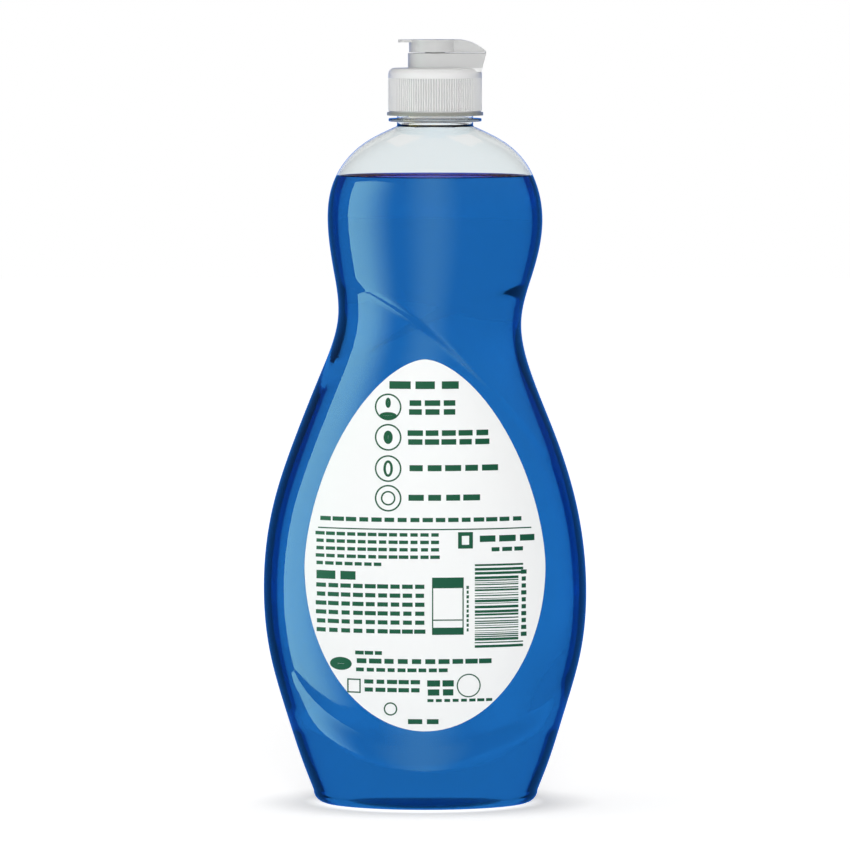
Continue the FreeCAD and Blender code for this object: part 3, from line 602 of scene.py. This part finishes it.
# how much longer than tall a dash is with its gap, and how far ahead of the film it starts
DASH_SHAPE = 2.9
DASH_AHEAD = 0.06
spots = []
pitches = []
heights = []
for left, right, top, drop, lines, tall in PRINT_BLOCKS:
    count = max(1, round((right - left) / (tall * DASH_SHAPE)))
    pitch = (right - left) / count
    for line in range(lines):
        for k in range(count):
            spots.append(((left + pitch * (k + 0.5)) * MM, 0, (top - drop * line) * MM))
            pitches.append(pitch * MM)
            heights.append(tall * MM)
spot_mesh = bpy.data.meshes.new("dash places")
spot_mesh.from_pydata(spots, [], [])
for name, values in (("pitch", pitches), ("tall", heights)):
    spot_mesh.attributes.new(name, "FLOAT", "POINT").data.foreach_set("value", values)

# a dash of random length on each place, laid on the film
dashes = bpy.data.node_groups.new("rows of dashes", "GeometryNodeTree")
for name, way, kind in (
        ("Places", "INPUT", "Geometry"), ("Film", "INPUT", "Object"),
        ("Shortest", "INPUT", "Float"), ("Longest", "INPUT", "Float"),
        ("Ink Thickness", "INPUT", "Float"), ("Seed", "INPUT", "Int"),
        ("Ink", "INPUT", "Material"), ("Dashes", "OUTPUT", "Geometry")):
    dashes.interface.new_socket(name, in_out=way, socket_type="NodeSocket" + kind)
given = add_node(dashes, "NodeGroupInput").outputs
pitch_read = add_node(dashes, "GeometryNodeInputNamedAttribute", data_type="FLOAT",
                      inputs=[("Name", "pitch")])
tall_read = add_node(dashes, "GeometryNodeInputNamedAttribute", data_type="FLOAT",
                     inputs=[("Name", "tall")])
share = add_node(dashes, "FunctionNodeRandomValue", data_type="FLOAT", links=[
    (2, given["Shortest"]), (3, given["Longest"]), (8, given["Seed"])])
length = add_node(dashes, "ShaderNodeMath", operation="MULTIPLY", links=[
    (0, pitch_read.outputs[0]), (1, share.outputs[1])])
size = add_node(dashes, "ShaderNodeCombineXYZ", links=[
    (0, length.outputs[0]), (1, given["Ink Thickness"]), (2, tall_read.outputs[0])])
block = add_node(dashes, "GeometryNodeMeshCube", inputs=[
    ("Size", (1, 1, 1)), ("Vertices X", 4), ("Vertices Y", 2), ("Vertices Z", 2)])
rows = add_node(dashes, "GeometryNodeInstanceOnPoints", links=[
    ("Points", given["Places"]), ("Instance", block.outputs[0]), ("Scale", size.outputs[0])])
solid = add_node(dashes, "GeometryNodeRealizeInstances", links=[(0, rows.outputs[0])])
where = add_node(dashes, "ShaderNodeSeparateXYZ", links=[
    (0, add_node(dashes, "GeometryNodeInputPosition").outputs[0])])
ahead = add_node(dashes, "ShaderNodeCombineXYZ", inputs=[(1, -DASH_AHEAD)],
                 links=[(0, where.outputs[0]), (2, where.outputs[2])])
target = add_node(dashes, "GeometryNodeObjectInfo", links=[("Object", given["Film"])])
ray = add_node(dashes, "GeometryNodeRaycast", inputs=[
    ("Ray Direction", (0, 1, 0)), ("Ray Length", DASH_AHEAD)],
    links=[("Target Geometry", target.outputs["Geometry"]),
           ("Source Position", ahead.outputs[0])])
hit = add_node(dashes, "ShaderNodeSeparateXYZ", links=[(0, ray.outputs["Hit Position"])])
depth = add_node(dashes, "ShaderNodeMath", operation="ADD", links=[
    (0, hit.outputs[1]), (1, where.outputs[1])])
laid = add_node(dashes, "ShaderNodeCombineXYZ", links=[
    (0, where.outputs[0]), (1, depth.outputs[0]), (2, where.outputs[2])])
moved = add_node(dashes, "GeometryNodeSetPosition", links=[
    ("Geometry", solid.outputs[0]), ("Selection", ray.outputs["Is Hit"]),
    ("Position", laid.outputs[0])])
inked = add_node(dashes, "GeometryNodeSetMaterial", links=[
    ("Geometry", moved.outputs[0]), ("Material", given["Ink"])])
add_node(dashes, "NodeGroupOutput", links=[("Dashes", inked.outputs[0])])

dash_places = bpy.data.objects.new("dash places", spot_mesh)
bpy.context.scene.collection.objects.link(dash_places)
lay_out = dash_places.modifiers.new("dashes", "NODES")
lay_out.node_group = dashes
settings = {"Film": label_film, "Shortest": 0.66, "Longest": 0.92,
            "Ink Thickness": INK * MM, "Seed": 7, "Ink": ink}
for socket in dashes.interface.items_tree:
    if socket.name in settings:
        lay_out[socket.identifier] = settings[socket.name]
built = dash_places.evaluated_get(bpy.context.evaluated_depsgraph_get())
dash_mesh = bpy.data.meshes.new_from_object(built)
bpy.data.objects.remove(dash_places)
add_piece("label_dashes", dash_mesh, ink, "bottle")

# Studio. A pale floor in a white surround, soft lamps, and a long lens a little above the
# cap. A tall soft box on the left draws the bright strip down the plastic. What the plastic
# mirrors otherwise is a dark blue room, so its middle and its rims keep their colour.
CAMERA_AWAY = 1.627
CAMERA_UP = 0.2593
CAMERA_AIM = 0.1213
LENS_MM = 216.7
ROOM_LIGHT = 0.24
GLOW_REACH = 0.9
# how much the floor glows at parts of that reach, to even out what the lamps leave dark, and
# how much wider than deep the bands of that glow are. The glow paints light and shade: it is
# raised under the base, and dips in a ring round the base into a painted shadow that adds to
# the lamps' real shadow there
FLOOR_GLOW_AND_PAINTED_SHADOW = ((0.036, 0.95), (1.0, 0.82), (0.041, 0.36), (0.062, 0.58), (0.3, 0.6))
BASE_OVAL = 1.55
FLOOR_HALF = 3
LAMP_AIM = Vector((0, 0, 0.12))


def seen_by(tree, *rays):
    """1 for rays of these kinds, such as the camera's, and 0 for all others."""
    path = add_node(tree, "ShaderNodeLightPath")
    found = path.outputs[rays[0]]
    for ray in rays[1:]:
        found = add_node(tree, "ShaderNodeMath", operation="MAXIMUM", links=[
            (0, found), (1, path.outputs[ray])]).outputs[0]
    return found


def only_mirrored(tree):
    """1 for rays that a surface mirrors. Refracted rays count as glossy too, so they go."""
    mirrored = add_node(tree, "ShaderNodeMath", operation="SUBTRACT", use_clamp=True, links=[
        (0, seen_by(tree, "Is Glossy Ray")), (1, seen_by(tree, "Is Transmission Ray"))])
    return mirrored.outputs[0]


def set_stops(ramp, stops):
    """Give a colour ramp grey stops, from pairs of place and strength."""
    for i, (place, strength) in enumerate(stops):
        stop = ramp.elements[i] if i < 2 else ramp.elements.new(place)
        stop.position = place
        stop.color = (strength, strength, strength, 1)


scene = bpy.context.scene
scene.view_settings.view_transform = "Standard"

camera_data = bpy.data.cameras.new("camera")
camera_data.lens = LENS_MM
camera_data.sensor_width = 36.0
camera = bpy.data.objects.new("camera", camera_data)
camera.location = (0.0, -CAMERA_AWAY, CAMERA_UP)
camera.rotation_euler = (math.pi / 2 - math.atan((CAMERA_UP - CAMERA_AIM) / CAMERA_AWAY), 0, 0)
scene.collection.objects.link(camera)
scene.camera = camera

# the surround is white, but what is mirrored is a blue room that turns grey overhead
world = bpy.data.worlds.new("white surround")
world.use_nodes = True
scene.world = world
sky = world.node_tree
sky.nodes.clear()
direction = add_node(sky, "ShaderNodeTexCoord")
upward = add_node(sky, "ShaderNodeSeparateXYZ", links=[(0, direction.outputs["Generated"])])
steep = add_node(sky, "ShaderNodeMapRange", inputs=[("From Min", 0.1), ("From Max", 0.45)],
                 links=[("Value", upward.outputs["Z"])])
room = add_node(sky, "ShaderNodeMix", data_type="RGBA", inputs=[
    (6, srgb("#3086F4")), (7, srgb("#4A4A4A"))], links=[(0, steep.outputs[0])])
tint = add_node(sky, "ShaderNodeMix", data_type="RGBA", inputs=[(6, (1, 1, 1, 1))], links=[
    (0, only_mirrored(sky)), (7, room.outputs[2])])
level = add_node(sky, "ShaderNodeMix", data_type="FLOAT", inputs=[(2, ROOM_LIGHT), (3, 1.0)],
                 links=[(0, seen_by(sky, "Is Camera Ray", "Is Transmission Ray",
                                    "Is Glossy Ray"))])
backdrop = add_node(sky, "ShaderNodeBackground",
                    links=[("Color", tint.outputs[2]), ("Strength", level.outputs[0])])
add_node(sky, "ShaderNodeOutputWorld", links=[("Surface", backdrop.outputs[0])])

floor_mesh = bpy.data.meshes.new("floor")
floor_mesh.from_pydata([
    (x * FLOOR_HALF, y * FLOOR_HALF, 0) for x, y in ((-1, -1), (1, -1), (1, 1), (-1, 1))
], [], [(0, 1, 2, 3)])
floor = bpy.data.objects.new("floor", floor_mesh)
scene.collection.objects.link(floor)

# white paper: matt, with a glow that leaves the bottle's own shadow on it, painted light under
# the base, and a painted shadow where the glow dips in a ring round the base
paper, paper_out = new_material("matt white paper")
tree = paper.node_tree
matt = add_node(tree, "ShaderNodeBsdfDiffuse", inputs=[("Color", srgb("#EDEDED"))])
spot = add_node(tree, "ShaderNodeTexCoord")
oval_spot = add_node(tree, "ShaderNodeVectorMath", operation="MULTIPLY",
                     inputs=[(1, (1, BASE_OVAL, 1))], links=[(0, spot.outputs["Object"])])
away = add_node(tree, "ShaderNodeVectorMath", operation="LENGTH",
                links=[(0, oval_spot.outputs[0])])
reach = add_node(tree, "ShaderNodeMath", operation="DIVIDE", inputs=[(1, GLOW_REACH)],
                 links=[(0, away.outputs["Value"])])
# painted light under the base and a painted shadow in a ring round it, from the glow's stops
glow_with_painted_shadow = add_node(tree, "ShaderNodeValToRGB", links=[(0, reach.outputs[0])])
set_stops(glow_with_painted_shadow.color_ramp, FLOOR_GLOW_AND_PAINTED_SHADOW)
glow_level = add_node(tree, "ShaderNodeMath", operation="MULTIPLY", links=[
    (0, seen_by(tree, "Is Camera Ray", "Is Transmission Ray")), (1, glow_with_painted_shadow.outputs[0])])
glow = add_node(tree, "ShaderNodeEmission", links=[("Strength", glow_level.outputs[0])])
lit = add_node(tree, "ShaderNodeAddShader", links=[(0, matt.outputs[0]), (1, glow.outputs[0])])
through = add_node(tree, "ShaderNodeBsdfTransparent")
flagged = add_node(tree, "ShaderNodeMixShader", links=[
    (0, only_mirrored(tree)), (1, lit.outputs[0]), (2, through.outputs[0])])
tree.links.new(flagged.outputs[0], paper_out.inputs["Surface"])
floor_mesh.materials.append(paper)


def soft_box(name, azimuth, away, up, wide, tall, watts, tint="#FFFFFF", matt=True,
             gloss=False, stops=((0.0, 1.0), (1.0, 1.0))):
    """A lamp that faces the bottle. Azimuth 0 is in front and 90 on the left. It lights what
    is matt, shows in what is glossy, or both. stops are how bright it is at parts of its
    width, from one side to the other."""
    data = bpy.data.lights.new(name, "AREA")
    data.shape = "RECTANGLE"
    data.size = wide
    data.size_y = tall
    data.energy = watts
    data.color = srgb(tint)[:3]
    data.use_nodes = True
    tree = data.node_tree
    spot = add_node(tree, "ShaderNodeNewGeometry")
    across = add_node(tree, "ShaderNodeSeparateXYZ", links=[(0, spot.outputs["Parametric"])])
    ramp = add_node(tree, "ShaderNodeValToRGB", links=[(0, across.outputs["X"])])
    ramp.color_ramp.interpolation = "EASE"
    set_stops(ramp.color_ramp, stops)
    tree.links.new(ramp.outputs["Color"], tree.nodes["Emission"].inputs["Strength"])
    lamp = bpy.data.objects.new(name, data)
    turn = math.radians(azimuth)
    lamp.location = (-math.sin(turn) * away, -math.cos(turn) * away, up)
    aim = LAMP_AIM - lamp.location
    lamp.rotation_euler = aim.to_track_quat("-Z", "Y").to_euler()
    lamp.visible_camera = False
    lamp.visible_diffuse = matt
    lamp.visible_glossy = gloss
    lamp.visible_transmission = False
    scene.collection.objects.link(lamp)


soft_box("left wash", azimuth=84, away=0.9, up=0.30, wide=0.8, tall=0.8, watts=2.0)
soft_box("front wash", azimuth=-3, away=1.4, up=0.35, wide=0.7, tall=0.8, watts=14.0)
soft_box("top wash", azimuth=180, away=0.2, up=1.1, wide=1.0, tall=0.6, watts=2.0, gloss=True)
soft_box("left strip", azimuth=58, away=0.9, up=0.15, wide=0.95, tall=0.94, watts=11.5,
         tint="#BEFFE0", matt=False, gloss=True, stops=((0.0, 1.0), (1.0, 0.0), (0.3, 0.95)))
soft_box("front strip", azimuth=2, away=1.4, up=0.2, wide=1.3, tall=2.0, watts=7.8,
         tint="#BEFFE0", matt=False, gloss=True, stops=((0.0, 0.0), (1.0, 0.0), (0.5, 1.0)))
